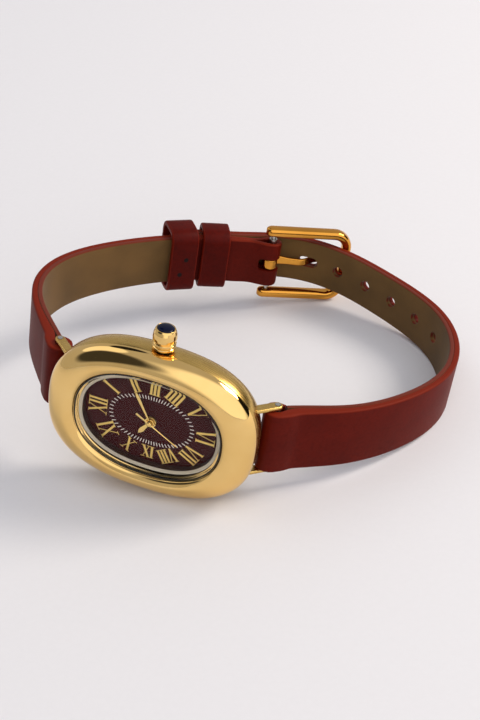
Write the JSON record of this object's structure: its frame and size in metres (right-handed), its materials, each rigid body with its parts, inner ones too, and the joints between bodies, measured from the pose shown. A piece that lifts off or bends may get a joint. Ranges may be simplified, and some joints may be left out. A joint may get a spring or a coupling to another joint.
{
  "type": "wristwatch",
  "caption": "Oval quartz wristwatch with a domed gold bezel, Roman dial, winding crown and a buckled leather strap.",
  "frame": {"origin": "centre of the case back's flat outer face", "axes": "+X from 12 o'clock to 6 o'clock, +Y from the dial through the case back towards the wrist, +Z from 9 o'clock to 3 o'clock, out through the crown"},
  "size_m": [0.0652, 0.0607, 0.0268],
  "materials": {
    "polished_gold": "polished gold plate",
    "satin_gold": "satin gold plate",
    "buckle_gold": "polished warm gold plate",
    "crystal_glass": "clear mineral glass",
    "dark_gasket": "matt black nitrile",
    "ring_enamel": "satin grey-beige lacquer",
    "dial_lacquer": "glossy burgundy sunburst lacquer",
    "gilt_print": "applied gilt numerals",
    "white_print": "white dial print",
    "hand_gold": "polished gilt hands",
    "cabochon_blue": "polished dark blue stone",
    "steel": "satin stainless steel",
    "movement_brass": "grained brass",
    "movement_nickel": "grained nickel plate",
    "holder_plastic": "moulded white nylon",
    "magnet": "sintered magnet",
    "stator_iron": "annealed soft iron",
    "copper_wire": "enamelled copper wire",
    "battery_steel": "brushed nickel-plated steel",
    "circuit_green": "solder-masked board",
    "leather_red": "smooth red-brown grain leather",
    "leather_lining": "tan nubuck lining"
  },
  "bodies": {
    "case": {"case_band": "satin_gold", "bezel": "polished_gold", "crystal": "crystal_glass", "crystal_gasket": "dark_gasket", "dial_ring": "ring_enamel", "dial": "dial_lacquer", "numerals": "gilt_print", "minute_track": "white_print", "case_back": "steel", "back_gasket": "dark_gasket", "crown_tube": "steel", "main_plate": "movement_brass", "movement_holder": "holder_plastic", "train_bridge": "movement_nickel", "movement_screws": "steel", "stator": "stator_iron", "coil_core": "stator_iron", "coil_winding": "copper_wire", "battery": "battery_steel", "battery_clamp": "steel", "quartz_resonator": "battery_steel", "circuit_board": "circuit_green", "strap_12_leather": "leather_red", "strap_12_lining": "leather_lining", "strap_6_leather": "leather_red", "strap_6_lining": "leather_lining", "fixed_keeper": "leather_red", "lug_bar_12_tube": "steel", "lug_bar_12_spring": "steel", "lug_bar_6_tube": "steel", "lug_bar_6_spring": "steel", "buckle_bar_tube": "steel", "buckle_bar_spring": "steel"},
    "minute_arbor": {"centre_wheel": "movement_brass", "cannon_pinion": "steel", "minute_hand": "hand_gold"},
    "hour_pipe": {"hour_wheel": "movement_brass", "hour_hand": "hand_gold"},
    "minute_wheel": {"minute_wheel": "movement_brass"},
    "third_wheel": {"third_wheel": "movement_brass"},
    "second_arbor": {"fourth_wheel": "movement_brass", "second_hand": "hand_gold"},
    "intermediate_wheel": {"intermediate_wheel": "movement_brass"},
    "motor_rotor": {"rotor": "steel", "rotor_magnet": "magnet"},
    "sliding_pinion": {"sliding_pinion": "steel"},
    "crown": {"crown": "polished_gold", "crown_cabochon": "cabochon_blue", "crown_seal": "dark_gasket", "stem": "steel"},
    "setting_lever": {"setting_lever": "steel"},
    "loose_keeper": {"loose_keeper": "leather_red"},
    "buckle": {"buckle_frame": "buckle_gold"},
    "buckle_tongue": {"buckle_tongue": "buckle_gold"},
    "lug_bar_12_tip_nine": {"lug_bar_12_tip_nine": "steel"},
    "lug_bar_12_tip_three": {"lug_bar_12_tip_three": "steel"},
    "lug_bar_6_tip_nine": {"lug_bar_6_tip_nine": "steel"},
    "lug_bar_6_tip_three": {"lug_bar_6_tip_three": "steel"},
    "buckle_bar_tip_nine": {"buckle_bar_tip_nine": "steel"},
    "buckle_bar_tip_three": {"buckle_bar_tip_three": "steel"}
  },
  "joints": [
    {"name": "minute_turn", "type": "hinge", "parent": "case", "child": "minute_arbor", "pos_m": [0, 0, 0], "axis": [0, 1, 0], "continuous": true},
    {"name": "hour_turn", "type": "hinge", "parent": "case", "child": "hour_pipe", "pos_m": [0, 0, 0], "axis": [0, 1, 0], "continuous": true},
    {"name": "minute_wheel_turn", "type": "hinge", "parent": "case", "child": "minute_wheel", "pos_m": [-0.00226, 0, -0.00082], "axis": [0, 1, 0], "continuous": true},
    {"name": "third_wheel_turn", "type": "hinge", "parent": "case", "child": "third_wheel", "pos_m": [0.00122, 0, -0.00212], "axis": [0, 1, 0], "continuous": true},
    {"name": "second_turn", "type": "hinge", "parent": "case", "child": "second_arbor", "pos_m": [0, 0, 0], "axis": [0, 1, 0], "continuous": true},
    {"name": "intermediate_turn", "type": "hinge", "parent": "case", "child": "intermediate_wheel", "pos_m": [0.00206, 0, 0.00145], "axis": [0, 1, 0], "continuous": true},
    {"name": "rotor_turn", "type": "hinge", "parent": "case", "child": "motor_rotor", "pos_m": [0.00404, 0, 0.00216], "axis": [0, 1, 0], "continuous": true},
    {"name": "crown_turn", "type": "hinge", "parent": "case", "child": "sliding_pinion", "pos_m": [0, -0.00285, 0], "axis": [0, 0, 1], "continuous": true},
    {"name": "crown_pull", "type": "slide", "parent": "sliding_pinion", "child": "crown", "axis": [0, 0, 1], "range_m": [0, 0.0008]},
    {"name": "setting_lever_swing", "type": "hinge", "parent": "case", "child": "setting_lever", "pos_m": [0.00194, 0, 0.00553], "axis": [0, 1, 0], "range_deg": [0, 28.1]},
    {"name": "loose_keeper_slide", "type": "hinge", "parent": "case", "child": "loose_keeper", "pos_m": [0.0138, 0.0041, 0], "axis": [0, 0, 1], "range_deg": [-1, 9]},
    {"name": "buckle_swing", "type": "hinge", "parent": "case", "child": "buckle", "pos_m": [0.0016, 0.0466, 0], "axis": [0, 0, 1], "range_deg": [0, 3]},
    {"name": "tongue_swing", "type": "hinge", "parent": "case", "child": "buckle_tongue", "pos_m": [0.0016, 0.0466, 0], "axis": [0, 0, 1], "range_deg": [0, 3]},
    {"name": "lug_bar_12_tip_nine_push", "type": "slide", "parent": "case", "child": "lug_bar_12_tip_nine", "axis": [0, 0, 1], "range_m": [0, 0.00075], "stiffness_N_per_m": 300, "springref_m": -0.001},
    {"name": "lug_bar_12_tip_three_push", "type": "slide", "parent": "case", "child": "lug_bar_12_tip_three", "axis": [0, 0, -1], "range_m": [0, 0.00075], "stiffness_N_per_m": 300, "springref_m": -0.001, "deforming": ["lug_bar_12_spring"]},
    {"name": "lug_bar_6_tip_nine_push", "type": "slide", "parent": "case", "child": "lug_bar_6_tip_nine", "axis": [0, 0, 1], "range_m": [0, 0.00075], "stiffness_N_per_m": 300, "springref_m": -0.001},
    {"name": "lug_bar_6_tip_three_push", "type": "slide", "parent": "case", "child": "lug_bar_6_tip_three", "axis": [0, 0, -1], "range_m": [0, 0.00075], "stiffness_N_per_m": 300, "springref_m": -0.001, "deforming": ["lug_bar_6_spring"]},
    {"name": "buckle_bar_tip_nine_push", "type": "slide", "parent": "case", "child": "buckle_bar_tip_nine", "axis": [0, 0, 1], "range_m": [0, 0.00075], "stiffness_N_per_m": 300, "springref_m": -0.001},
    {"name": "buckle_bar_tip_three_push", "type": "slide", "parent": "case", "child": "buckle_bar_tip_three", "axis": [0, 0, -1], "range_m": [0, 0.00075], "stiffness_N_per_m": 300, "springref_m": -0.001, "deforming": ["buckle_bar_spring"]}
  ],
  "couplings": [
    {"joint": "hour_turn", "follows": "minute_turn", "ratio": 0.083333},
    {"joint": "minute_wheel_turn", "follows": "minute_turn", "ratio": -0.33333},
    {"joint": "third_wheel_turn", "follows": "minute_turn", "ratio": -7.5},
    {"joint": "second_turn", "follows": "minute_turn", "ratio": 60},
    {"joint": "intermediate_turn", "follows": "minute_turn", "ratio": -360},
    {"joint": "rotor_turn", "follows": "minute_turn", "ratio": 1800},
    {"joint": "setting_lever_swing", "follows": "crown_pull", "rad_per_m": 612.45},
    {"joint": "tongue_swing", "follows": "buckle_swing", "ratio": 1}
  ]
}
